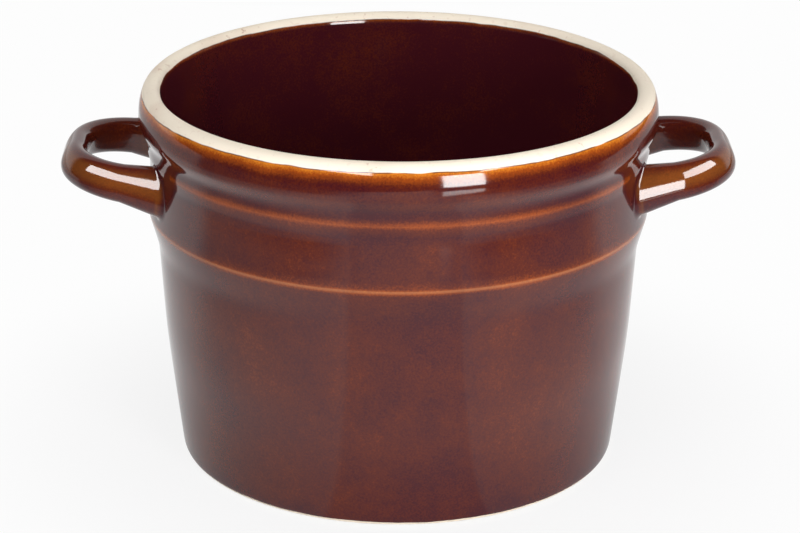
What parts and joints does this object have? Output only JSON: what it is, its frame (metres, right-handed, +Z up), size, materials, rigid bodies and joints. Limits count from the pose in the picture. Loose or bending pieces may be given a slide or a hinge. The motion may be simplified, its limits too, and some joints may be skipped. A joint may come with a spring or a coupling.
{
  "type": "stoneware pickling crock",
  "caption": "Open, round stoneware crock with a rounded bare clay lip, two raised ridges and a loop handle on each side, glazed brown inside and out",
  "frame": {"origin": "centre of the foot, on the plane that the crock stands on", "axes": "+Z up the pot's axis, +X through the middle of the right handle, +Y to the back"},
  "size_m": [0.2624, 0.2028, 0.1503],
  "materials": {
    "brown_glaze": "glossy brown glaze over pale stoneware, thin and orange on the ridges and under the lip, with the lip and the foot left bare and matt"
  },
  "bodies": {
    "root": {"crock": "brown_glaze"}
  },
  "joints": []
}
